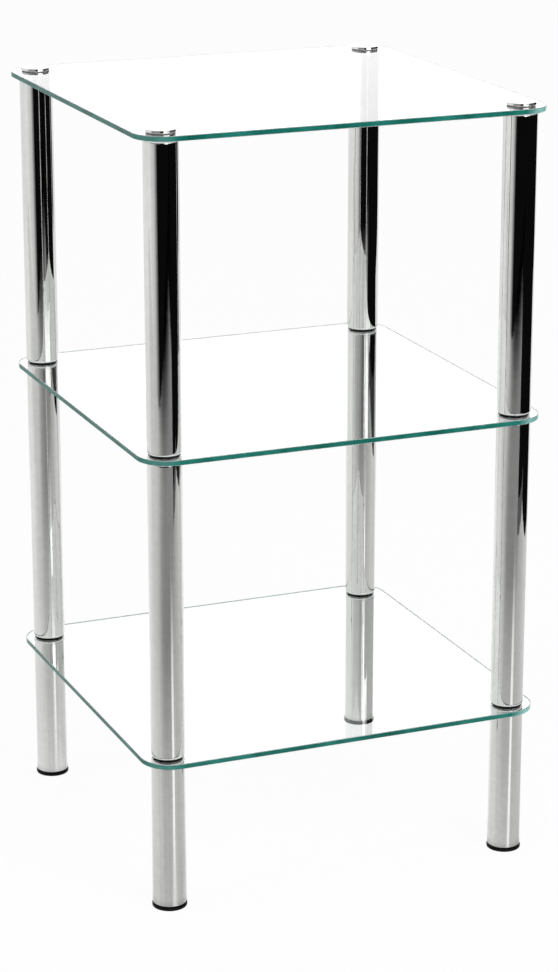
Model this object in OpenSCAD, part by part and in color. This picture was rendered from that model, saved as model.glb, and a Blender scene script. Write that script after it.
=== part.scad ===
// Three-tier glass shelving unit on chromed tube posts, millimetres.
// Origin on the floor, at the centre of the four feet. +Z is up, +X is to the right, -Y is the front.
// Each post is a stack: foot, leg tube, glass, lower tube, glass, upper tube, glass and cap screw,
// drawn together by threaded studs through the drilled corners of the glass.

/* [Shelves] */
// Width of each glass shelf, left to right
shelf_w = 400; // [320:5:600]
// Depth of each glass shelf, front to back
shelf_d = 400; // [320:5:600]
// Thickness of the toughened glass
glass_t = 5; // [4:0.5:10]
// Radius of the rounded shelf corners, seen from above
corner_r = 30; // [20:1:40]
// Size of the ground bevel along each edge of the glass
arris = 0.5; // [0.2:0.1:1]
// Diameter of the holes drilled in the glass
glass_hole_d = 13; // [12:0.5:16]
// Size of the ground bevel at the mouths of the drilled holes
hole_arris = 0.4; // [0.2:0.1:0.8]

/* [Posts] */
// Distance from the edges of the glass to the axis of each post
post_inset = 25; // [22:1:60]
// Outer diameter of the tubes
tube_d = 32; // [30:1:38]
// Wall of the tubes
tube_wall = 1.2; // [0.8:0.1:2]
// Outer radius of the rim that is turned in at each end of a tube
rim_r = 2.4; // [1:0.1:2.8]
// Flat width of the turned-in rim, beyond its bend
rim_flat = 0.8; // [0.6:0.1:2]
// Length of each upper and lower tube, from rim to rim
tier_len = 285; // [180:5:450]
// Length of each leg tube, from rim to rim
leg_len = 140; // [80:5:300]

/* [Plugs and studs] */
// Length of a threaded plug, from its nose inwards
plug_len = 18; // [16:1:30]
// Thickness of the floor behind the nose of a plug
plug_floor = 2.5; // [2:0.5:5]
// Wall of the skirt of a plug, against the tube
plug_skirt = 1.5; // [1:0.1:2.5]
// Wall of the threaded boss in the middle of a plug
plug_boss = 3; // [2:0.25:4]
// Thickness of the cross ribs between boss and skirt
plug_rib = 1.6; // [1:0.2:3]
// Gap between a plug and the inside of its tube
plug_gap = 0.05; // [0.02:0.01:0.1]
// Outer diameter of the stud thread
stud_d = 8; // [6:1:8]
// Running gap between a stud and the thread of its plug, on the radius
thread_gap = 0.05; // [0.02:0.01:0.1]
// Depth that a stud reaches into each plug
stud_hold = 14; // [10:1:16]
// Size of the bevel at the ends of a stud
stud_bevel = 0.8; // [0.4:0.1:1.2]

/* [Washers and sleeves] */
// Thickness of the black washers between tube and glass
washer_t = 1; // [0.75:0.25:2.5]
// Amount by which the washers above the glass are smaller than the tubes, on the radius
over_washer_step = 1; // [0.5:0.25:2]
// Amount by which the washers under the glass are smaller than the tubes, on the radius
under_washer_step = 3; // [0.5:0.25:3]
// Thickness of the white washer under each cap
cap_washer_t = 0.75; // [0.5:0.25:2]
// Amount by which a cap's washer is smaller than the cap, on the radius
cap_washer_step = 1.5; // [0.5:0.25:3]
// Clearance of the stud in a washer or a sleeve, on the radius
stud_gap = 0.3; // [0.1:0.05:0.6]
// Clearance of a sleeve in its drilled hole, on the radius
sleeve_gap = 0.1; // [0.05:0.05:0.3]

/* [Caps] */
// Diameter of a cap
cap_d = 29; // [24:1:32]
// Height of the tapered rim of a cap
cap_rim_h = 1.6; // [1:0.1:3]
// Amount by which the rim of a cap tapers inwards over its height, on the radius
cap_taper = 0.3; // [0:0.05:0.6]
// Rise of the crowned top of a cap above its rim
cap_crown = 1.2; // [0.6:0.1:2]
// Radius of the rounded upper edge of a cap
cap_edge_r = 0.8; // [0.3:0.1:1]

/* [Feet] */
// Diameter of a foot pad
pad_d = 33; // [30:0.5:40]
// Height of a foot pad
pad_h = 5; // [4.6:0.2:8]
// Radius of the rounded lower edge of a foot pad
pad_edge_r = 1.4; // [0.5:0.1:2]
// Diameter of the shallow recess under a foot pad
pad_recess_d = 22; // [16:1:26]
// Depth of the shallow recess under a foot pad
pad_recess_h = 0.6; // [0.3:0.1:0.8]
// Diameter of the flange that holds a foot stud in its pad
flange_d = 15; // [13:0.5:18]
// Thickness of the flange of a foot stud
flange_t = 1.6; // [1.2:0.1:2]
// Thickness of the pad's floor under the flange
pad_floor = 1.4; // [1.2:0.1:1.6]
// Running gap round the flange of a foot stud, on the radius
flange_gap = 0.08; // [0.03:0.01:0.1]
// Width across the flats of the hexagon on a foot stud
hex_af = 13; // [10:0.5:14]
// Height of the hexagon on a foot stud
hex_h = 5; // [3:0.5:7]
// Clearance round and above the hexagon in its recess in the leg's plug
hex_gap = 1; // [0.5:0.25:1.5]
// Travel of a foot as it is screwed out
foot_travel = 10; // [5:1:12]

/* [Hidden] */
$fn = 96;
eps = 0.01;
tube_r = tube_d / 2;
bore_r = tube_r - tube_wall;
mouth_r = tube_r - rim_r - rim_flat;
over_washer_r = tube_r - over_washer_step;
under_washer_r = tube_r - under_washer_step;
cap_r = cap_d / 2;
stud_r = stud_d / 2;
plug_bore_r = stud_r + thread_gap;
sleeve_r = glass_hole_d / 2 - sleeve_gap;
hex_r = hex_af / 2 / cos(30);

// Heights of the stack, from the floor up
leg_z = pad_h;
bottom_glass_z = leg_z + leg_len + washer_t;
lower_tube_z = bottom_glass_z + glass_t + washer_t;
middle_glass_z = lower_tube_z + tier_len + washer_t;
upper_tube_z = middle_glass_z + glass_t + washer_t;
top_glass_z = upper_tube_z + tier_len + washer_t;
cap_z = top_glass_z + glass_t + cap_washer_t;

// The glass with its washers, from the rim below to the rim above
joint_h = glass_t + 2 * washer_t;

// Foot heights: the flange lies on the pad's floor, and the hexagon starts where the pad ends
flange_z = pad_floor;
foot_plug_recess = hex_h + hex_gap;

// Post names and their sides of the unit, as seen from the front
POSTS = ["front_left", "front_right", "back_left", "back_right"];
SIDES = [[-1, -1], [1, -1], [-1, 1], [1, 1]];

// Places its child on the axis of post number i, at height z
module at_post(i, z = 0) {
    x = SIDES[i].x * (shelf_w / 2 - post_inset);
    y = SIDES[i].y * (shelf_d / 2 - post_inset);
    translate([x, y, z]) children();
}

// Places its child on the axes of all four posts, at height z
module at_all_posts(z = 0) {
    for (i = [0:3]) at_post(i, z) children();
}

// Section across a sheet of half-width half, both edges bevelled by the arris above and below
module sheet_section(half) {
    polygon([
        [arris - half, 0], [half - arris, 0], [half, arris], [half, glass_t - arris],
        [half - arris, glass_t], [arris - half, glass_t], [-half, glass_t - arris], [-half, arris]
    ]);
}

// Straight strip of glass of the given width, with its two long edges bevelled
module glass_strip(width, len) {
    translate([0, len / 2, 0]) rotate([90, 0, 0]) linear_extrude(len) sheet_section(width / 2);
}

// Round disc of glass with its rim bevelled, which makes a corner of the sheet
module glass_corner() {
    rotate_extrude() intersection() {
        sheet_section(corner_r);
        square([corner_r, glass_t]);
    }
}

// Glass sheet with rounded corners: two crossing strips and a bevelled disc at each corner
module glass_sheet() {
    glass_strip(shelf_w, shelf_d - 2 * corner_r);
    rotate([0, 0, 90]) glass_strip(shelf_d, shelf_w - 2 * corner_r);
    for (s = SIDES)
        translate([s.x * (shelf_w / 2 - corner_r), s.y * (shelf_d / 2 - corner_r), 0])
            glass_corner();
}

// Cutter for a drilled hole in the glass, wider at both mouths where the rim is bevelled
module glass_hole() {
    hole_r = glass_hole_d / 2;
    flare = hole_arris + eps;
    translate([0, 0, -1]) cylinder(h = glass_t + 2, r = hole_r);
    translate([0, 0, -eps]) cylinder(h = flare, r1 = hole_r + flare, r2 = hole_r);
    translate([0, 0, glass_t - hole_arris]) cylinder(h = flare, r1 = hole_r, r2 = hole_r + flare);
}

// One toughened glass shelf, drilled for the four posts
module glass_shelf(z) {
    color([0.80, 0.93, 0.89, 0.45]) translate([0, 0, z]) difference() {
        glass_sheet();
        at_all_posts() glass_hole();
    }
}

// Half-section of a solid bar with both outer edges rounded by edge_r
module rounded_bar_section(r, len, edge_r) {
    square([r - edge_r, len]);
    translate([0, edge_r]) square([r, len - 2 * edge_r]);
    for (y = [edge_r, len - edge_r]) translate([r - edge_r, y]) circle(edge_r);
}

// Chromed tube whose wall bends inwards at both ends to a narrow flat rim round the mouth
module chrome_tube(len) {
    color([0.80, 0.81, 0.83]) rotate_extrude() difference() {
        rounded_bar_section(tube_r, len, rim_r);
        translate([0, tube_wall])
            rounded_bar_section(bore_r, len - 2 * tube_wall, max(rim_r - tube_wall, eps));
        translate([-tube_r, -1]) square([tube_r + mouth_r, len + 2]);
    }
}

// Outside of a plug: nose that fills the mouth of the tube, and barrel whose shoulder lies on the
// rim, relieved to clear the bend of the tube
module plug_outside() {
    barrel_r = bore_r - plug_gap;
    relief = max(rim_r - tube_wall, 0) + 0.3;
    cylinder(h = tube_wall, r = mouth_r - plug_gap);
    translate([0, 0, tube_wall]) cylinder(h = relief, r1 = barrel_r - relief, r2 = barrel_r);
    translate([0, 0, tube_wall + relief]) cylinder(h = plug_len - tube_wall - relief, r = barrel_r);
}

// Die-cast plug, nose down: floor, skirt, threaded boss and two cross ribs. Where a hexagon has to
// sink into the nose, a walled recess of the given radius and depth opens it.
module end_plug(recess_r = 0, recess_h = 0) {
    floor_z = tube_wall + plug_floor;
    inner_r = bore_r - plug_gap - plug_skirt;
    color([0.62, 0.64, 0.66]) difference() {
        union() {
            difference() {
                plug_outside();
                translate([0, 0, floor_z]) cylinder(h = plug_len, r = inner_r);
            }
            cylinder(h = plug_len, r = plug_bore_r + plug_boss);
            for (turn = [0, 90]) rotate([0, 0, turn])
                translate([-inner_r - plug_skirt / 2, -plug_rib / 2, floor_z - 1])
                    cube([2 * inner_r + plug_skirt, plug_rib, plug_len - floor_z - 1]);
            if (recess_h > 0) cylinder(h = recess_h + plug_floor, r = recess_r + plug_skirt);
        }
        translate([0, 0, -1]) cylinder(h = plug_len + 2, r = plug_bore_r);
        if (recess_h > 0) translate([0, 0, -1]) cylinder(h = recess_h + 1, r = recess_r);
    }
}

// Plugs in the lower ends of the tubes that start at height z
module bottom_plugs(z) {
    at_all_posts(z) end_plug();
}

// Plugs in the upper ends of the tubes that end at height z
module top_plugs(z) {
    at_all_posts(z) mirror([0, 0, 1]) end_plug();
}

// Plugs in the lower ends of the legs, recessed for the hexagons of the foot studs
module foot_plugs() {
    at_all_posts(leg_z) end_plug(hex_r + hex_gap, foot_plug_recess);
}

// Flat ring of the given outer radius and thickness, with a hole that clears the stud
module washer(r, t) {
    difference() {
        cylinder(h = t, r = r);
        translate([0, 0, -1]) cylinder(h = t + 2, r = stud_r + stud_gap);
    }
}

// Black washers on top of the glass at height z, under the tubes that stand on it
module over_washers(z) {
    color([0.06, 0.06, 0.07]) at_all_posts(z + glass_t) washer(over_washer_r, washer_t);
}

// Black washers under the glass at height z. They are smaller, and lie on the flat of the rims.
module under_washers(z) {
    color([0.06, 0.06, 0.07]) at_all_posts(z - washer_t) washer(under_washer_r, washer_t);
}

// White washers under the caps
module cap_washers() {
    color([0.93, 0.93, 0.90]) at_all_posts(cap_z - cap_washer_t)
        washer(cap_r - cap_washer_step, cap_washer_t);
}

// Plastic sleeves that line the holes of the glass at height z
module sleeves(z) {
    color([0.93, 0.93, 0.90]) at_all_posts(z) difference() {
        cylinder(h = glass_t, r = sleeve_r);
        translate([0, 0, -1]) cylinder(h = glass_t + 2, r = stud_r + stud_gap);
    }
}

// Bar of thread with both ends bevelled
module threaded_bar(len) {
    cylinder(h = stud_bevel, r1 = stud_r - stud_bevel, r2 = stud_r);
    translate([0, 0, stud_bevel]) cylinder(h = len - 2 * stud_bevel, r = stud_r);
    translate([0, 0, len - stud_bevel]) cylinder(h = stud_bevel, r1 = stud_r, r2 = stud_r - stud_bevel);
}

// Studs through the glass at height z, held by the plugs below and above it
module joint_studs(z) {
    color([0.60, 0.61, 0.63]) at_all_posts(z - washer_t - stud_hold)
        threaded_bar(joint_h + 2 * stud_hold);
}

// Half-section of the cap's head: tapered rim, rounded edge and slightly crowned top
module cap_section() {
    flat_r = cap_r - cap_taper - cap_edge_r;
    crown_r = (flat_r * flat_r + cap_crown * cap_crown) / (2 * cap_crown);
    edge_z = cap_rim_h;
    polygon([[0, 0], [cap_r, 0], [cap_r - cap_taper, edge_z], [0, edge_z]]);
    square([flat_r, edge_z + cap_edge_r]);
    translate([flat_r, edge_z]) circle(cap_edge_r);
    intersection() {
        translate([0, edge_z + cap_edge_r + cap_crown - crown_r]) circle(crown_r, $fn = 360);
        square([flat_r, edge_z + cap_edge_r + cap_crown]);
    }
}

// Cap screw: a low crowned head with its stud, which holds the top shelf down on its post
module cap_screw(i) {
    reach = cap_washer_t + glass_t + washer_t + stud_hold;
    color([0.82, 0.83, 0.85]) at_post(i, cap_z) {
        rotate_extrude() cap_section();
        translate([0, 0, -reach]) threaded_bar(reach + stud_bevel);
    }
}

// Foot pad: a low disc with a rounded lower edge and a closed seat for the flange of its stud
module foot_pad(i) {
    pad_r = pad_d / 2;
    seat_r = flange_d / 2 + flange_gap;
    color([0.05, 0.05, 0.06]) at_post(i) difference() {
        rotate_extrude() difference() {
            union() {
                translate([0, pad_edge_r]) square([pad_r, pad_h - pad_edge_r]);
                square([pad_r - pad_edge_r, pad_h]);
                translate([pad_r - pad_edge_r, pad_edge_r]) circle(pad_edge_r);
            }
            translate([0, -1]) square([pad_recess_d / 2, pad_recess_h + 1]);
        }
        translate([0, 0, flange_z]) cylinder(h = flange_t + flange_gap, r = seat_r);
        translate([0, 0, flange_z]) cylinder(h = pad_h, r = stud_r + stud_gap);
    }
}

// Foot stud: flange in the pad, hexagon for a spanner, and the thread that runs up into the leg
module foot_stud(i) {
    top_z = leg_z + plug_len + foot_travel;
    color([0.60, 0.61, 0.63]) at_post(i) {
        translate([0, 0, flange_z]) cylinder(h = flange_t, r = flange_d / 2);
        translate([0, 0, flange_z]) cylinder(h = pad_h - flange_z + 1, r = stud_r);
        translate([0, 0, leg_z]) cylinder(h = hex_h, r = hex_r, $fn = 6);
        translate([0, 0, leg_z + 1]) threaded_bar(top_z - leg_z - 1);
    }
}

glass_shelf(top_glass_z);  // glass_shelf_top
glass_shelf(middle_glass_z);  // glass_shelf_middle
glass_shelf(bottom_glass_z);  // glass_shelf_bottom

for (i = [0:3]) {
    at_post(i, upper_tube_z) chrome_tube(tier_len);
    at_post(i, lower_tube_z) chrome_tube(tier_len);
    at_post(i, leg_z) chrome_tube(leg_len);
    cap_screw(i);
    foot_pad(i);
    foot_stud(i);
}

top_plugs(upper_tube_z + tier_len);  // upper_tube_top_plugs
bottom_plugs(upper_tube_z);  // upper_tube_bottom_plugs
top_plugs(lower_tube_z + tier_len);  // lower_tube_top_plugs
bottom_plugs(lower_tube_z);  // lower_tube_bottom_plugs
top_plugs(leg_z + leg_len);  // leg_tube_top_plugs
foot_plugs();  // leg_tube_foot_plugs

cap_washers();  // top_shelf_cap_washers
under_washers(top_glass_z);  // top_shelf_under_washers
over_washers(middle_glass_z);  // middle_shelf_over_washers
under_washers(middle_glass_z);  // middle_shelf_under_washers
over_washers(bottom_glass_z);  // bottom_shelf_over_washers
under_washers(bottom_glass_z);  // bottom_shelf_under_washers

sleeves(top_glass_z);  // top_shelf_sleeves
sleeves(middle_glass_z);  // middle_shelf_sleeves
sleeves(bottom_glass_z);  // bottom_shelf_sleeves

joint_studs(middle_glass_z);  // middle_shelf_studs
joint_studs(bottom_glass_z);  // bottom_shelf_studs
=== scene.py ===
"""Looks of the square glass shelving unit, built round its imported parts, in metres.
The sections follow the unit as it is put together: tubes, plugs, studs, sleeves, washers, glass, caps
and feet. The studio and the camera come last."""
import math

import bmesh
import bpy
import numpy as np
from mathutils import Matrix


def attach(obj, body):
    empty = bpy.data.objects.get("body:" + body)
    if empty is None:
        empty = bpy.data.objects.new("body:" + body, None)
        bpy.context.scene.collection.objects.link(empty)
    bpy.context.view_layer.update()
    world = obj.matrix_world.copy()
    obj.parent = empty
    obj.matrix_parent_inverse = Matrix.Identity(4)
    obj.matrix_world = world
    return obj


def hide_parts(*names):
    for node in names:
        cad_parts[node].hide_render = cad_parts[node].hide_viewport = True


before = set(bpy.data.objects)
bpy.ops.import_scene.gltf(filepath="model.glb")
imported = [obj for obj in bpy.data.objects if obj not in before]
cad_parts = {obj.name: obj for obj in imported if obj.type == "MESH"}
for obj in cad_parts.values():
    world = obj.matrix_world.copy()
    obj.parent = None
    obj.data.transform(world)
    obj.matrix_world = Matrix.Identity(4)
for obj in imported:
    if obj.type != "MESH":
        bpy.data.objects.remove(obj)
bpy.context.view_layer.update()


# Chromed tubes. Twelve lengths of thin steel tube, 32 mm across, whose ends are rolled in to a narrow
# rim round the mouth. They are polished lengthwise and bright chromed, so they mirror the room.
tube_r, tube_wall, tube_rim, tube_mouth, mouth_edge = 0.016, 0.0012, 0.0024, 0.0128, 0.0002
chrome_tone = (0.740, 0.745, 0.732)
post_reach = 0.175
post_xy = {"front_left": (-post_reach, -post_reach), "front_right": (post_reach, -post_reach),
           "back_left": (-post_reach, post_reach), "back_right": (post_reach, post_reach)}
tube_heights = {"leg": (0.0031, 0.145), "lower": (0.1516, 0.437), "upper": (0.4436, 0.729)}


class Wire:
    """One socket of a material's node tree. Sums, differences and products of wires add nodes."""

    def __init__(self, tree, socket):
        self.tree, self.socket = tree, socket

    def node(self, kind, settings, inputs, out=0):
        """Adds a node of that kind: its settings first, then the values or wires of its inputs."""
        made = self.tree.nodes.new(kind)
        for key, value in settings.items():
            setattr(made, key, value)
        for key, value in inputs.items():
            if isinstance(value, Wire):
                self.tree.links.new(value.socket, made.inputs[key])
            else:
                made.inputs[key].default_value = value
        return Wire(self.tree, made.outputs[out])

    def math(self, operation, *values):
        """That operation on values or wires, in their order."""
        return self.node("ShaderNodeMath", {"operation": operation}, dict(enumerate(values)))

    def __add__(self, other):
        return self.math("ADD", self, other)

    def __sub__(self, other):
        return self.math("SUBTRACT", self, other)

    def __rsub__(self, other):
        return self.math("SUBTRACT", other, self)

    def __mul__(self, other):
        return self.math("MULTIPLY", self, other)

    __radd__, __rmul__ = __add__, __mul__

    def noise(self, scale, detail, roughness):
        """Cloudy value from 0 to 1 at this place."""
        return self.node("ShaderNodeTexNoise", {},
                         {"Vector": self, "Scale": scale, "Detail": detail, "Roughness": roughness})

    def axis(self, number):
        """One coordinate of this place: 0 for x, 1 for y, 2 for z."""
        return self.node("ShaderNodeSeparateXYZ", {}, {0: self}, number)

    def stretched(self, x, y, z):
        """This place, scaled along each axis."""
        return self.node("ShaderNodeMapping", {}, {"Vector": self, "Scale": (x, y, z)})

    def step(self, low, high):
        """Smooth step of this value: 0 below low, 1 above high."""
        return self.node("ShaderNodeMapRange", {"interpolation_type": "SMOOTHSTEP"},
                         {"Value": self, "From Min": low, "From Max": high})

    def unsigned(self):
        """This value without its sign."""
        return self.math("ABSOLUTE", self)

    def blend(self, first, second):
        """Colour between first and second, by this value."""
        return self.node("ShaderNodeMix", {"data_type": "RGBA"}, {0: self, 6: first, 7: second}, 2)

    def bump(self, strength, distance):
        """Surface direction over a relief of this height."""
        return self.node("ShaderNodeBump", {},
                         {"Height": self, "Strength": strength, "Distance": distance})


def finish_of(name):
    """A new material: itself, its shader and the place on the object, as a wire."""
    made = bpy.data.materials.new(name)
    made.use_nodes = True
    tree = made.node_tree
    place = Wire(tree, tree.nodes.new("ShaderNodeTexCoord").outputs["Object"])
    return made, tree.nodes["Principled BSDF"], place


def connect(shader, **sockets):
    """Gives a shader's sockets their values or wires; Base_Color stands for Base Color."""
    for name, value in sockets.items():
        socket = shader.inputs[name.replace("_", " ")]
        if isinstance(value, Wire):
            value.tree.links.new(value.socket, socket)
        else:
            socket.default_value = value


def chrome_finish(name, tone, stretch):
    """Bright chrome: a faintly mottled mirror with long polishing streaks, a few dull wiped patches,
    fine specks and a slight waviness."""
    made, shader, place = finish_of(name)
    streaks = place.stretched(*stretch).noise(900.0, 4.0, 0.6)
    wiped = place.noise(23.0, 4.0, 0.6).step(0.52, 0.78)
    specks = place.noise(2600.0, 2.0, 0.5).step(0.66, 0.80)
    tarnish = place.noise(9.0, 3.0, 0.5)
    mottle = place.noise(150.0, 3.0, 0.6)
    darker = tuple(c * 0.86 for c in tone)
    worn = (tarnish * 0.4 + streaks * 0.3 + mottle * 0.3).step(0.35, 0.70)
    connect(shader, Base_Color=worn.blend((*darker, 1), (*tone, 1)), Metallic=1.0,
            Roughness=streaks.step(0.42, 0.75) * 0.030 + wiped * 0.025 + specks * 0.03 + 0.022,
            Normal=(streaks * 0.30 + place.noise(60.0, 2.0, 0.5)).bump(0.05, 0.0006))
    return made


def bend(centre_r, centre_z, size, start, end, steps=10):
    """Arc in the (r, z) half-plane: the centre plus size times the cosine and sine of an even angle."""
    turn = np.radians(np.linspace(start, end, steps))
    return np.stack([centre_r + size * np.cos(turn), centre_z + size * np.sin(turn)], 1)


def turned(profile, x, y, sides, closed=True):
    """Surface of revolution: the profile point (r, z) at angle t lies at (x + r cos t, y + r sin t, z).
    r may also differ with t, as on a thread. The profile runs up on its outer side."""
    if isinstance(profile, tuple):
        r, z = profile
    else:
        r, z = profile[:, :1], profile[:, 1:]
    rows = len(z)
    turn = np.arange(sides) * (2 * np.pi / sides)
    r = np.broadcast_to(r, (rows, sides))
    z = np.broadcast_to(z, (rows, sides))
    points = np.stack([x + r * np.cos(turn), y + r * np.sin(turn), z], 2).reshape(-1, 3)
    i = np.arange(rows if closed else rows - 1)[:, None]
    j = np.arange(sides)[None]
    ahead, above = (j + 1) % sides, (i + 1) % rows
    faces = np.stack([i * sides + j, i * sides + ahead, above * sides + ahead, above * sides + j], 2)
    return points, faces.reshape(-1, 4)


def piece(name, surfaces, material, body, nodes, sharp=32, seam=2e-7):
    """One object of joined grid surfaces with merged seams, which stands for these nodes. Edges that
    turn by more than the angle sharp stay crisp."""
    starts = np.cumsum([0] + [len(points) for points, _ in surfaces[:-1]])
    points = np.concatenate([points for points, _ in surfaces])
    faces = np.concatenate([faces + start for (_, faces), start in zip(surfaces, starts)])
    mesh = bpy.data.meshes.new(name)
    mesh.from_pydata(points.tolist(), [], faces.tolist())
    merged = bmesh.new()
    merged.from_mesh(mesh)
    bmesh.ops.remove_doubles(merged, verts=merged.verts, dist=seam)
    merged.to_mesh(mesh)
    merged.free()
    mesh.polygons.foreach_set("use_smooth", np.ones(len(mesh.polygons), bool))
    mesh.set_sharp_from_angle(angle=math.radians(sharp))
    mesh.materials.append(material)
    made = bpy.data.objects.new(name, mesh)
    bpy.context.scene.collection.objects.link(made)
    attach(made, body)
    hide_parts(*nodes)
    return made


def tube_profile(low, high):
    """Closed outline of the tube's wall: straight, quarter bends of the rim, flat rim, mouth, inside. A
    short row at each end of the straight keeps the smooth shading of the bends off it."""
    flat = tube_r - tube_rim
    inner = tube_rim - tube_wall
    short = 0.0003
    return np.concatenate([
        bend(flat, low + tube_rim, tube_rim, -90, 0), [[tube_r, low + tube_rim + short]],
        [[tube_r, high - tube_rim - short]], bend(flat, high - tube_rim, tube_rim, 0, 90),
        bend(tube_mouth + mouth_edge, high - mouth_edge, mouth_edge, 90, 180, 4),
        [[tube_mouth, high - tube_wall]],
        bend(flat, high - tube_rim, inner, 90, 0, 5), bend(flat, low + tube_rim, inner, 0, -90, 5),
        [[tube_mouth, low + tube_wall]],
        bend(tube_mouth + mouth_edge, low + mouth_edge, mouth_edge, 180, 270, 4)])


tube_chrome = chrome_finish("tube_chrome", chrome_tone, (1.0, 1.0, 0.012))
for tier, (low, high) in tube_heights.items():
    for post, (x, y) in post_xy.items():
        node = f"{tier}_tube_{post}"
        piece("chromed_" + node, [turned(tube_profile(low, high), x, y, 192)], tube_chrome, "unit",
              [node])


# Plugs. Die-cast zinc, pressed into the ends of every tube behind the rolled rim, with a skirt, two
# cross ribs and a threaded boss. They are left as cast: dull grey with a fine grain and a few flow
# marks.
plug_tone = (0.42, 0.43, 0.45)


def cast_finish(name, tone):
    """As-cast zinc: grainy, mottled and half matt."""
    made, shader, place = finish_of(name)
    grain = place.noise(1500.0, 4.0, 0.65)
    flow = place.stretched(1.0, 1.0, 0.35).noise(160.0, 3.0, 0.5)
    colour = (grain * 0.4 + flow * 0.6).step(0.3, 0.7).blend(
        (*(c * 0.72 for c in tone), 1), (*(min(c * 1.22, 1) for c in tone), 1))
    connect(shader, Base_Color=colour, Metallic=0.9, Roughness=grain * 0.2 + flow * 0.15 + 0.28,
            Normal=(grain + flow * 0.5).bump(0.25, 0.0002))
    return made


plug_metal = cast_finish("plug_zinc", plug_tone)
for node in ("upper_tube_top_plugs", "upper_tube_bottom_plugs", "lower_tube_top_plugs",
             "lower_tube_bottom_plugs", "leg_tube_top_plugs", "leg_tube_foot_plugs"):
    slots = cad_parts[node].data.materials
    slots.clear()
    slots.append(plug_metal)


# Joint studs. Plain M8 threaded rod, zinc plated, with bevelled ends. One passes through each corner
# of the middle and bottom glass and screws into the plugs below and above.
stud_r, stud_pitch, stud_bevel, stud_sides = 0.004, 0.00125, 0.0008, 40
thread_depth, crest_share, flank_share, rows_per_turn = 0.61 * stud_pitch, 0.12, 0.72, 9
stud_tone = (0.56, 0.57, 0.59)
stud_spans = {"middle_shelf_studs": (0.4230, 0.4580), "bottom_shelf_studs": (0.1310, 0.1660)}


def thread_rows(low, high, sides):
    """Radius and height grids of a screw thread: at height z and angle t the radius is the crest less
    the thread's depth times a clipped triangle wave of z/pitch - t/turn, and the ends are bevelled."""
    rows = int(round((high - low) / stud_pitch * rows_per_turn)) + 1
    z = np.linspace(low, high, rows)[:, None]
    turn = np.arange(sides)[None] / sides
    wave = np.abs(2 * ((z / stud_pitch - turn) % 1.0) - 1)
    depth = thread_depth * np.clip((wave - crest_share) / flank_share, 0, 1)
    ends = np.minimum(z - low, high - z) + stud_r - stud_bevel
    return np.minimum(stud_r - depth, ends), z


def plated_finish(name, tone):
    """Zinc plate: bright, slightly cloudy, with fine turning lines round the bar."""
    made, shader, place = finish_of(name)
    lines = place.stretched(0.15, 0.15, 1.0).noise(2400.0, 2.0, 0.5)
    cloud = place.noise(220.0, 4.0, 0.6)
    colour = cloud.step(0.3, 0.7).blend((*(c * 0.82 for c in tone), 1), (*tone, 1))
    connect(shader, Base_Color=colour, Metallic=1.0, Roughness=cloud * 0.16 + lines * 0.12 + 0.14,
            Normal=(lines + cloud * 0.3).bump(0.15, 0.0001))
    return made


def with_poles(r, z):
    """The rows with a point on the axis before and after them, which closes the ends."""
    sides = r.shape[1]
    point = np.zeros((1, sides))
    z = np.broadcast_to(z, r.shape)
    return np.concatenate([point, r, point]), np.concatenate([z[:1], z, z[-1:]])


stud_steel = plated_finish("stud_zinc_plate", stud_tone)
for node, (low, high) in stud_spans.items():
    rod = with_poles(*thread_rows(low, high, stud_sides))
    rods = [turned(rod, x, y, stud_sides, False) for x, y in post_xy.values()]
    piece("threaded_" + node, rods, stud_steel, "unit", [node], 50)


# Sleeves. Short collars turned from natural white nylon, one pushed into each drilled hole. They line
# it from face to face and keep the steel studs off the glass.
sleeve_r, sleeve_bore, ring_edge, glass_t = 0.0064, 0.0043, 0.0002, 0.005
sleeve_tone = (0.86, 0.86, 0.82)
glass_heights = {"top": 0.7300, "middle": 0.4380, "bottom": 0.1460}


def rings(outer, low, high, sides):
    """Four flat rings round the posts' axes: the outline goes round a quarter bend at each of the four
    edges, from the bore of the sleeves to the outer radius."""
    out, into = outer - ring_edge, sleeve_bore + ring_edge
    up, down = high - ring_edge, low + ring_edge
    outline = np.concatenate([
        bend(out, down, ring_edge, -90, 0, 5), bend(out, up, ring_edge, 0, 90, 5),
        bend(into, up, ring_edge, 90, 180, 5), bend(into, down, ring_edge, 180, 270, 5)])
    return [turned(outline, x, y, sides) for x, y in post_xy.values()]


def nylon_finish(name, tone):
    """Natural nylon: waxy off-white, slightly cloudy."""
    made, shader, place = finish_of(name)
    cloud = place.noise(300.0, 3.0, 0.5)
    colour = cloud.step(0.3, 0.7).blend((*(c * 0.93 for c in tone), 1), (*tone, 1))
    connect(shader, Base_Color=colour, Roughness=cloud * 0.15 + 0.38, Normal=cloud.bump(0.1, 0.0001))
    return made


sleeve_nylon = nylon_finish("sleeve_nylon", sleeve_tone)
for shelf, low in glass_heights.items():
    piece(f"nylon_{shelf}_sleeves", rings(sleeve_r, low, low + glass_t, 64), sleeve_nylon, "unit",
          [f"{shelf}_shelf_sleeves"])


# Washers. Rings punched from black rubber sheet, which bed the glass between the rims of the tubes.
# Those over it are pressed flatter and those under it are smaller. White nylon ones lie under the caps.
over_washer_r, over_washer_t = 0.015, 0.0006
under_washer_r, under_washer_t = 0.013, 0.001
cap_washer_r, cap_washer_t = 0.013, 0.00075
washer_tone = (0.008, 0.008, 0.009)


def rubber_finish(name, tone):
    """Black rubber: matt, with a fine grain and a greyer bloom in patches."""
    made, shader, place = finish_of(name)
    grain = place.noise(2200.0, 3.0, 0.6)
    bloom = place.noise(140.0, 3.0, 0.55).step(0.45, 0.75)
    colour = (bloom * 0.7 + grain * 0.3).blend((*tone, 1), (*(c * 2.2 for c in tone), 1))
    connect(shader, Base_Color=colour, Roughness=grain * 0.2 + 0.5, Specular_IOR_Level=0.25,
            Normal=grain.bump(0.2, 0.0001))
    return made


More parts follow.
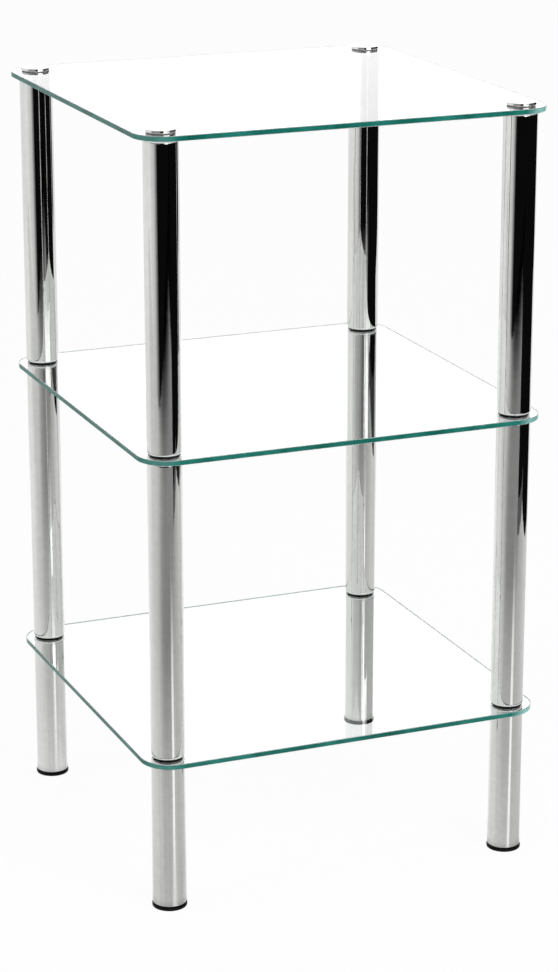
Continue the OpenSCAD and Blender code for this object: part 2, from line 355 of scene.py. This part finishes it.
washer_rubber = rubber_finish("washer_rubber", washer_tone)
for shelf, side in (("top", "under"), ("middle", "over"), ("middle", "under"), ("bottom", "over"),
                    ("bottom", "under")):
    if side == "over":
        low, washer_r, washer_t = glass_heights[shelf] + glass_t, over_washer_r, over_washer_t
    else:
        low, washer_r, washer_t = glass_heights[shelf] - under_washer_t, under_washer_r, under_washer_t
    piece(f"rubber_{shelf}_shelf_{side}_washers", rings(washer_r, low, low + washer_t, 128),
          washer_rubber, "unit", [f"{shelf}_shelf_{side}_washers"])
glass_top = glass_heights["top"] + glass_t
piece("nylon_top_shelf_cap_washers", rings(cap_washer_r, glass_top, glass_top + cap_washer_t, 128),
      sleeve_nylon, "unit", ["top_shelf_cap_washers"])


# Glass shelves. Clear toughened float glass, 5 mm thick, with rounded corners, a flat polished edge
# between two pale ground bevels, and a drilled hole at each corner. Its edges look deep green.
shelf_half, corner_r, arris, side_steps, corner_steps = 0.2, 0.030, 0.0005, 12, 32
hole_r, hole_arris, hole_ring = 0.0065, 0.0004, 0.0140
# Painted light: between these distances from the middle, the glass edge's corners are painted paler.
painted_glow_from, painted_glow_to = 0.166, 0.184
face_tone, film_tone = (0.982, 0.996, 0.991), (0.970, 0.989, 0.983)
# The third edge tone is the painted light at the edge's rounded corners.
edge_tone, edge_dark, painted_edge_glow = (0.020, 0.215, 0.172), (0.003, 0.085, 0.066), (0.27, 0.53, 0.50)
bevel_tone = (0.80, 0.93, 0.91)


def quarter_outline(offset):
    """Outline of the quarter sheet x, y >= 0, moved inwards by offset on its outer sides: side at x =
    half, quarter circle round the corner's centre, side at y = half, then back along the two seams."""
    half, centre = shelf_half - offset, shelf_half - corner_r
    even = np.linspace(0, 1, side_steps + 1)[:, None]
    turn = np.radians(np.linspace(0, 90, corner_steps + 1))[:, None]
    corner = centre + (corner_r - offset) * np.concatenate([np.cos(turn), np.sin(turn)], 1)
    a, b, c = np.array([half, 0.0]), np.array([half, centre]), np.array([centre, half])
    d, e = np.array([0.0, half]), np.zeros(2)
    return np.concatenate([a + (b - a) * even[:-1], corner, c + (d - c) * even[1:],
                           d + (e - d) * even[1:], e + (a - e) * even[1:-1]])


def quarter_sheet(z, flip_x, flip_y):
    """Quarter of the sheet as loops of points between the drilled hole and the outline. Each loop has
    one point for each outline point; the loops round the hole take the directions from its centre.
    The first three strips are the outer wall. They are left out along the two seams, so that four
    quarters close into one sheet."""
    full, inner = quarter_outline(0.0), quarter_outline(arris)
    away = inner - post_reach
    away /= np.linalg.norm(away, axis=1, keepdims=True)
    bevel, hole, ring = (post_reach + away * size for size in (hole_r + hole_arris, hole_r, hole_ring))
    top = z + glass_t
    loops = [(inner, z), (full, z + arris), (full, top - arris), (inner, top), (ring, top),
             (bevel, top), (hole, top - hole_arris), (hole, z + hole_arris), (bevel, z), (ring, z)]
    count = len(full)
    points = np.concatenate([np.column_stack([xy, np.full(count, h)]) for xy, h in loops])
    points[:, 0] *= flip_x
    points[:, 1] *= flip_y
    i, j = np.arange(len(loops))[:, None], np.arange(count)[None]
    ahead, above = (j + 1) % count, (i + 1) % len(loops)
    faces = np.stack([i * count + j, i * count + ahead, above * count + ahead, above * count + j], 2)
    on_seam = (full[:, 0] < 1e-9) | (full[:, 1] < 1e-9)
    wall = np.zeros((len(loops), count), bool)
    wall[:3] = (on_seam & on_seam[(np.arange(count) + 1) % count])[None]
    faces = faces[~wall]
    if flip_x * flip_y < 0:
        faces = faces[:, ::-1]
    return points, faces


def glass_face_finish():
    """Clear float glass: faint cool tint, with dust specks and wiped film in the gloss only."""
    made, shader, place = finish_of("shelf_glass_face")
    film = place.noise(14.0, 4.0, 0.6).step(0.50, 0.80)
    dust = place.noise(3000.0, 2.0, 0.5).step(0.70, 0.80)
    connect(shader, Base_Color=(film * 0.5 + dust * 0.5).blend((*face_tone, 1), (*film_tone, 1)),
            Roughness=film * 0.012 + dust * 0.03, Transmission_Weight=1.0, IOR=1.52)
    return made


def glass_edge_finish():
    """Polished edge: the long way through the sheet turns the light deep green. At the rounded corners
    the edge is painted paler, most so on the right: painted light for the bright things seen through
    it there. Fine lengthwise grinding lines blur the gloss."""
    made, shader, place = finish_of("shelf_glass_edge")
    lines = place.stretched(0.05, 0.05, 1.0).noise(5000.0, 3.0, 0.6)
    deep = place.noise(30.0, 3.0, 0.55).step(0.30, 0.70)
    across, along = place.axis(0), place.axis(1)
    # Painted light: the rounded corners are painted paler, more so on the right side, for bright things
    # seen through the edge.
    corner = across.unsigned().step(painted_glow_from, painted_glow_to) * along.unsigned().step(painted_glow_from, painted_glow_to)
    corner = corner * (deep * 0.3 + 0.7) * (across.step(-0.1, 0.1) * 0.75 + 0.25)
    green = (deep * 0.7 + lines * 0.3).blend((*edge_dark, 1), (*edge_tone, 1))
    connect(shader, Base_Color=corner.blend(green, (*painted_edge_glow, 1)),
            Roughness=lines * 0.08 + 0.05, Transmission_Weight=0.1, IOR=1.52, Specular_IOR_Level=0.08,
            Normal=lines.bump(0.1, 0.00005))
    return made


def glass_bevel_finish():
    """Ground bevel: frosted, pale and slightly green, with fine lengthwise grinding lines."""
    made, shader, place = finish_of("shelf_glass_bevel")
    lines = place.stretched(0.05, 0.05, 1.0).noise(7000.0, 3.0, 0.6)
    frost = place.noise(1200.0, 3.0, 0.6)
    darker = tuple(c * 0.85 for c in bevel_tone)
    connect(shader, Base_Color=(lines * 0.5 + frost * 0.5).blend((*darker, 1), (*bevel_tone, 1)),
            Roughness=frost * 0.2 + 0.3, Transmission_Weight=0.6, IOR=1.52,
            Normal=lines.bump(0.1, 0.00005))
    return made


glass_face, glass_edge, glass_bevel = glass_face_finish(), glass_edge_finish(), glass_bevel_finish()
for shelf, low in glass_heights.items():
    quarters = [quarter_sheet(low, flip_x, flip_y) for flip_x in (-1, 1) for flip_y in (-1, 1)]
    sheet = piece(f"glass_{shelf}_sheet", quarters, glass_face, "unit",
                  [f"glass_shelf_{shelf}"], 20)
    sheet.data.materials.append(glass_edge)
    sheet.data.materials.append(glass_bevel)
    normals = np.zeros(len(sheet.data.polygons) * 3, np.float32)
    sheet.data.polygons.foreach_get("normal", normals)
    level = np.abs(normals.reshape(-1, 3)[:, 2])
    finish = np.where(level > 0.95, 0, np.where(level < 0.3, 1, 2))  # faces, edges, bevels
    sheet.data.polygons.foreach_set("material_index", finish.astype(np.int32))


# Cap screws. Low round heads turned from steel and chromed: a rim that tapers inwards a little, a
# rounded upper edge and a slight crown, over a threaded shank that screws into the plug below the
# top glass.
cap_r, cap_rim, cap_taper, cap_edge, cap_crown = 0.0145, 0.0016, 0.0003, 0.0008, 0.0012
cap_bevel_in, cap_bevel_up, cap_draft = 0.0002, 0.0002, 0.00004
shank_reach, shank_relief, shank_runout_rows = 0.02075, 0.0004, 6
cap_tone, cap_low = (0.765, 0.770, 0.760), glass_top + cap_washer_t


def cap_surface(x, y):
    """Shank thread, underside, small lower bevel, tapered rim, rounded edge and crown, an arc of a
    large circle whose rise over the flat radius is the crown."""
    sides = 128
    flat = cap_r - cap_taper - cap_edge
    crown_r = (flat ** 2 + cap_crown ** 2) / (2 * cap_crown)
    shoulder = cap_low + cap_rim + cap_edge
    across = np.linspace(flat, 0, 14)[1:, None]
    rise = shoulder + cap_crown - crown_r + np.sqrt(crown_r ** 2 - across ** 2)
    head = np.concatenate([[[stud_r, cap_low], [cap_r - cap_bevel_in, cap_low]],
                           [[cap_r - cap_draft, cap_low + cap_bevel_up]],
                           bend(flat, cap_low + cap_rim, cap_edge, 0, 90, 9),
                           np.concatenate([across, rise], 1)])
    shank_r, shank_z = (rows[:-shank_runout_rows] for rows in
                        thread_rows(cap_low - shank_reach, cap_low - shank_relief, sides))
    head_r = np.broadcast_to(head[:, :1], (len(head), sides))
    r = np.concatenate([np.zeros((1, sides)), shank_r, head_r])
    z = np.concatenate([shank_z[:1], shank_z, head[:, 1:]])
    return turned((r, z), x, y, sides, False)


cap_chrome = chrome_finish("cap_chrome", cap_tone, (1.0, 1.0, 1.0))
for post, (x, y) in post_xy.items():
    piece("chromed_cap_" + post, [cap_surface(x, y)], cap_chrome, "unit",
          ["cap_screw_" + post])


# Foot pads. Low round discs moulded in black plastic, with a rounded lower edge, a shallow recess
# underneath and a closed seat in which the flange of the foot stud turns.
pad_r, pad_h, pad_edge, pad_round = 0.0165, 0.0031, 0.0011, 0.0004
recess_r, recess_h, sole_edge = 0.011, 0.0004, 0.0002
seat_r, seat_low, seat_high, neck_bore, neck_edge = 0.00758, 0.0010, 0.00255, 0.0043, 0.0002
pad_tone, dust_tone = (0.003, 0.003, 0.0035), (0.02, 0.02, 0.02)


def pad_profile():
    """Closed outline: recess, sole, rounded lower edge, wall, small upper round, top, bore and seat."""
    return np.concatenate([
        [[recess_r, recess_h], [recess_r + sole_edge / 2, sole_edge / 2], [recess_r + sole_edge, 0.0]],
        bend(pad_r - pad_edge, pad_edge, pad_edge, -90, 0, 10),
        bend(pad_r - pad_round, pad_h - pad_round, pad_round, 0, 90, 6),
        [[neck_bore + neck_edge, pad_h], [neck_bore, pad_h - neck_edge], [neck_bore, seat_high],
         [seat_r, seat_high], [seat_r, seat_low], [0.0, seat_low], [0.0, recess_h]]])


def moulded_finish(name, tone):
    """Moulded black plastic: satin, finely grained, dustier near the floor."""
    made, shader, place = finish_of(name)
    grain = place.noise(1800.0, 3.0, 0.6)
    dust = (1.0 - place.axis(2).step(0.0, 0.003)) * place.noise(260.0, 4.0, 0.6).step(0.35, 0.75)
    connect(shader, Base_Color=(dust * 0.5 + grain * 0.2).blend((*tone, 1), (*dust_tone, 1)),
            Roughness=grain * 0.15 + dust * 0.2 + 0.34, Specular_IOR_Level=0.10,
            Normal=grain.bump(0.15, 0.0001))
    return made


pad_plastic = moulded_finish("pad_plastic", pad_tone)
for post, (x, y) in post_xy.items():
    piece("moulded_foot_pad_" + post, [turned(pad_profile(), x, y, 128)], pad_plastic,
          "pad_" + post, ["foot_pad_" + post])


# Foot studs. Turned and rolled steel, zinc plated: a flange that swivels in the pad, a hexagon for a
# spanner with chamfered corners, and an M8 thread that runs up into the plug of the leg.
flange_r, flange_low, flange_high, flange_edge = 0.0075, 0.0010, 0.0025, 0.0002
hex_half, hex_low, hex_high, chamfer_r, chamfer_slope = 0.0065, 0.005, 0.010, 0.0064, 1.73
undercut_r, thread_sunk, foot_top = 0.0036, 0.0005, 0.033


def foot_stud_surface(x, y):
    """Flange, neck, hexagon and thread as rows of one grid. On the hexagon the radius at angle t is
    half the width over the cosine of t's distance from the nearest flat, cut by a cone at both ends."""
    sides = 72
    turn = np.arange(sides)[None] * (2 * np.pi / sides)
    flat = hex_half / np.cos((turn + np.pi / 6) % (np.pi / 3) - np.pi / 6)
    rise = np.array([0.0, 0.00012, 0.00025, 0.0004, 0.00055, 0.0007])
    rows = np.concatenate([hex_low + rise, hex_high - rise[::-1]])[:, None]
    cone = chamfer_r + np.minimum(rows - hex_low, hex_high - rows) * chamfer_slope
    thread_r, thread_z = thread_rows(hex_high - thread_sunk, foot_top, sides)
    shown = thread_z[:, 0] > hex_high
    below = np.array([[0.0, flange_low], [flange_r - flange_edge, flange_low],
                      [flange_r, flange_low + flange_edge], [flange_r, flange_high - flange_edge],
                      [flange_r - flange_edge, flange_high], [stud_r, flange_high], [stud_r, hex_low]])
    wide = lambda radii: np.broadcast_to(np.reshape(radii, (-1, 1)), (np.size(radii), sides))
    r = np.concatenate([wide(below[:, 0]), np.minimum(flat, cone), wide(undercut_r), thread_r[shown],
                        wide(0.0)])
    z = np.concatenate([below[:, 1:], rows, [[hex_high]], thread_z[shown], [[foot_top]]])
    return turned((r, z), x, y, sides, False)


for post, (x, y) in post_xy.items():
    piece("plated_foot_stud_" + post, [foot_stud_surface(x, y)], stud_steel,
          "stud_" + post, ["foot_stud_" + post], 28)


# Studio. A wide pale floor, a white surround that also shows in glass and metal, and a soft lamp on
# each side. Screens round the unit and a glossy grey sheet with painted floor shade and painted
# shadows round the feet, seen only in mirrors, draw the chrome.
floor_reach, floor_white, surround, ambient_level, white_light = 30.0, 0.94, 1.0, 0.60, (1, 1, 1, 1)


def stage_piece(name, corners, material):
    """A flat four-cornered object of the studio, which isn't part of the unit."""
    mesh = bpy.data.meshes.new(name)
    mesh.from_pydata(corners, [], [(0, 1, 2, 3)])
    mesh.materials.append(material)
    made = bpy.data.objects.new(name, mesh)
    bpy.context.scene.collection.objects.link(made)
    return made


def only_in_mirrors(made):
    """Hides a studio object from everything but reflections."""
    made.visible_camera = made.visible_diffuse = False
    made.visible_transmission = made.visible_shadow = False


def glow(place, tone, strength=1.0):
    """Light of that colour, or of the value of that wire as a grey, times the strength."""
    return place.node("ShaderNodeEmission", {}, {"Color": tone, "Strength": strength})


def surface_of(made, finish):
    """The material, with that shader wire as its whole surface."""
    made.node_tree.links.new(finish.socket, made.node_tree.nodes["Material Output"].inputs["Surface"])
    return made


def floor_finish():
    """Matt white floor that is plain white to the camera, to mirrors and through glass, except for a
    part of the shadow that falls on it."""
    made, shader, place = finish_of("studio_floor")
    tree = made.node_tree
    colour = place.noise(3.0, 3.0, 0.5).blend((0.88, 0.88, 0.88, 1), (0.92, 0.92, 0.92, 1))
    connect(shader, Base_Color=colour, Roughness=0.8)
    ray = tree.nodes.new("ShaderNodeLightPath").outputs
    seen, mirror, through = (Wire(tree, ray[f"Is {kind} Ray"])
                             for kind in ("Camera", "Glossy", "Transmission"))
    share = seen.math("MAXIMUM", seen.math("MAXIMUM", seen, mirror), through) * floor_white
    return surface_of(made, place.node("ShaderNodeMixShader", {}, {
        0: share, 1: Wire(tree, shader.outputs[0]), 2: glow(place, white_light)}))


stage_piece("floor", [(-floor_reach, -floor_reach, 0), (floor_reach, -floor_reach, 0),
                      (floor_reach, floor_reach, 0), (-floor_reach, floor_reach, 0)], floor_finish())

world = bpy.data.worlds.new("studio_world")
world.use_nodes = True
bpy.context.scene.world = world
sky = world.node_tree
ambient = sky.nodes["Background"]
ambient.inputs["Color"].default_value = white_light
ambient.inputs["Strength"].default_value = ambient_level
ray = Wire(sky, sky.nodes.new("ShaderNodeLightPath").outputs["Is Diffuse Ray"])
white = ray.node("ShaderNodeBackground", {}, {"Color": white_light, "Strength": surround})
shown = ray.node("ShaderNodeMixShader", {}, {0: ray, 1: white, 2: Wire(sky, ambient.outputs[0])})
sky.links.new(shown.socket, sky.nodes["World Output"].inputs["Surface"])

camera_yaw, camera_pitch = math.radians(22.462), math.radians(17.360)
aside = np.array([math.cos(camera_yaw), -math.sin(camera_yaw)])
nearer = np.array([-math.sin(camera_yaw), -math.cos(camera_yaw)])


def lamp(name, right, front, height, width, tall, watts, aim=0.45):
    """Soft rectangular lamp so far to the viewer's right, to the front and up, turned to the unit's
    axis at the height aim. Mirrors don't show it."""
    data = bpy.data.lights.new(name, "AREA")
    data.shape, data.size, data.size_y, data.energy = "RECTANGLE", width, tall, watts
    made = bpy.data.objects.new(name, data)
    spot = aside * right + nearer * front
    made.location = (*spot, height)
    made.rotation_euler = (math.atan2(math.hypot(*spot), height - aim), 0,
                           math.atan2(-spot[1], -spot[0]) - math.pi / 2)
    bpy.context.scene.collection.objects.link(made)
    made.visible_camera = made.visible_transmission = made.visible_glossy = False


lamp("lamp_right", 1.45, 1.95, 1.60, 1.6, 1.4, 34)
lamp("lamp_left", -2.2, 1.2, 2.4, 1.6, 1.6, 16)


def screen(name, start, end, low, high, finish):
    """Upright screen from start to end, each given as (right, front), seen only in mirrors."""
    a, b = (aside * p[0] + nearer * p[1] for p in (start, end))
    only_in_mirrors(stage_piece(name, [(*a, low), (*b, low), (*b, high), (*a, high)], finish))


def screen_finish(name, level, rise=None, graded_from=-1.453):
    """Cloth that glows at one level. A graded one grows brighter with the distance to the left of
    x = graded_from: by a smooth step between two distances, and evenly by so much for each metre."""
    made, _, place = finish_of(name)
    tone = (level, level, level, 1)
    if rise:
        first, last, by, slope = rise
        along = graded_from - place.axis(0)
        tone = along.step(first, last) * by + along * slope + level
    return surface_of(made, glow(place, tone))


def soft_panel(name, start, end, low, high, level, soft, rise):
    """Cloth of a soft box from start to end, seen only in mirrors. In its own frame x runs across it
    from the middle and z runs up. Its glow falls off over the width soft towards its sides and its top,
    and over the height rise towards its lower side."""
    a, b = (aside * p[0] + nearer * p[1] for p in (start, end))
    half = float(np.linalg.norm(b - a)) / 2
    made, _, place = finish_of(name + "_cloth")
    across, up = place.axis(0), place.axis(2)
    fall = ((1.0 - across.unsigned().step(half - soft, half)) * up.step(low, low + rise) *
            (1.0 - up.step(high - soft, high)))
    corners = [(-half, 0, low), (half, 0, low), (half, 0, high), (-half, 0, high)]
    cloth = stage_piece(name, corners, surface_of(made, glow(place, fall, level)))
    cloth.location = (*((a + b) / 2), 0)
    cloth.rotation_euler = (0, 0, math.atan2(b[1] - a[1], b[0] - a[0]))
    only_in_mirrors(cloth)


def sheet_finish():
    """Glossy grey sheet on the floor, laid out with x to the right and y to the back, whose glow is
    painted floor light and shade: palest behind the unit, darkest in a valley of painted shade in front
    of it, and black beyond about 2 m to the front and 1.6 m to the right, with a painted shadow ring
    round each foot. It mirrors the screens by the share gloss_share."""
    made, _, place = finish_of("sheet_grey")
    even_level, behind_gain, front_shade_depth, foot_shadow_level, gloss_share = 0.72, 0.30, 0.34, 0.6, 0.2
    right, front = place.axis(0), 0.0 - place.axis(1)
    # Painted floor light and shade: the sheet is palest behind the unit and darkest in the valley in
    # front of it.
    valley = right.step(-1.2, 0.0) * front.step(0.40, 1.00)
    behind = 1.0 - front.step(-0.30, 0.50)
    near = (1.0 - front.step(1.45, 2.35) * right.step(-1.60, -0.90)) * (1.0 - right.step(1.45, 1.75))
    # Painted shadow: the glow is darker in a ring round each foot.
    for xy in post_xy.values():
        foot = (float(aside @ xy), -float(nearer @ xy), 0.0)
        away = place.node("ShaderNodeVectorMath", {"operation": "DISTANCE"}, {0: place, 1: foot}, 1)
        near = near * (away.step(tube_r, 0.040) * (1 - foot_shadow_level) + foot_shadow_level)
    level = (behind * behind_gain + even_level - valley * front_shade_depth) * near
    gloss = place.node("ShaderNodeBsdfAnisotropic", {}, {"Color": white_light, "Roughness": 0.15})
    return surface_of(made, place.node("ShaderNodeMixShader", {}, {
        0: gloss_share, 1: glow(place, level), 2: gloss}))


black, dim, grey, bright = (screen_finish(f"screen_{name}", level) for name, level in (
    ("black", 0.004), ("dim", 0.12), ("grey", 0.33), ("bright", 1.8)))
graded = screen_finish("screen_graded", 0.12, (0.0, 0.485, 0.45, 0.33))
graded_high = screen_finish("screen_graded_high", 0.33, (0.53, 1.14, 0.65, 0.0))
screen("screen_front", (-0.82, 1.82), (0.55, 2.60), 0.0, 2.2, black)
screen("screen_front_right", (0.55, 2.60), (3.20, 2.60), 0.0, 2.4, black)
screen("screen_corner_right", (3.20, 2.60), (3.20, 0.60), 0.0, 0.8, black)
soft_panel("panel_right", (0.99, 2.19), (1.58, 1.77), 0.42, 1.6, 3.8, 0.15, 0.25)
soft_panel("panel_right_high", (0.70, 2.27), (2.18, 0.93), 0.90, 2.5, 3.2, 0.20, 0.20)
screen("screen_right_high", (1.02, 0.61), (1.05, -0.60), 0.75, 1.35, dim)
screen("screen_front_high", (-0.08, 2.19), (-0.80, 1.78), 0.85, 1.9, grey)
screen("screen_left_high", (-0.80, 1.78), (-2.20, 1.05), 0.85, 1.9, graded_high)
screen("pole_right", (0.880, 0.870), (0.898, 0.848), 0.0, 0.75, black)
screen("screen_right_start", (0.898, 0.848), (1.32, 0.42), 0.05, 0.75, black)
screen("pole_light", (0.898, 0.848), (1.32, 0.42), 0.0, 0.05, dim)
screen("screen_right", (1.32, 0.42), (1.27, 0.10), 0.0, 0.75, black)
screen("screen_right_end", (1.27, 0.10), (1.05, -0.60), 0.0, 0.75, black)
screen("screen_far_right", (2.30, 1.50), (2.00, -1.90), 0.0, 2.4, black)
screen("screen_left", (-0.82, 1.82), (-2.90, 0.75), 0.0, 2.2, graded)
screen("screen_back", (-3.0, -3.2), (3.0, -3.2), 0.75, 3.0, bright)
sheet_left, sheet_right, sheet_near, sheet_far, sheet_z = -3.0, 3.2, -4.0, 1.0, 0.0006
grey_sheet = stage_piece("sheet_front", [
    (sheet_left, sheet_near, sheet_z), (sheet_right, sheet_near, sheet_z),
    (sheet_right, sheet_far, sheet_z), (sheet_left, sheet_far, sheet_z)], sheet_finish())
grey_sheet.rotation_euler = (0, 0, -camera_yaw)
only_in_mirrors(grey_sheet)


# Camera, at the photograph's place, height and angle. It looks down on the unit from the left of its
# front through a long lens without shift.
data = bpy.data.cameras.new("camera")
data.sensor_width, data.lens = 36.0, 110.18
data.clip_start, data.clip_end = 0.05, 100.0
camera = bpy.data.objects.new("camera", data)
camera.location = (-1.0567, -2.5768, 1.2117)
camera.rotation_euler = (math.pi / 2 - camera_pitch, 0, -camera_yaw)
bpy.context.scene.collection.objects.link(camera)
bpy.context.scene.camera = camera
bpy.context.scene.view_settings.view_transform = "Standard"
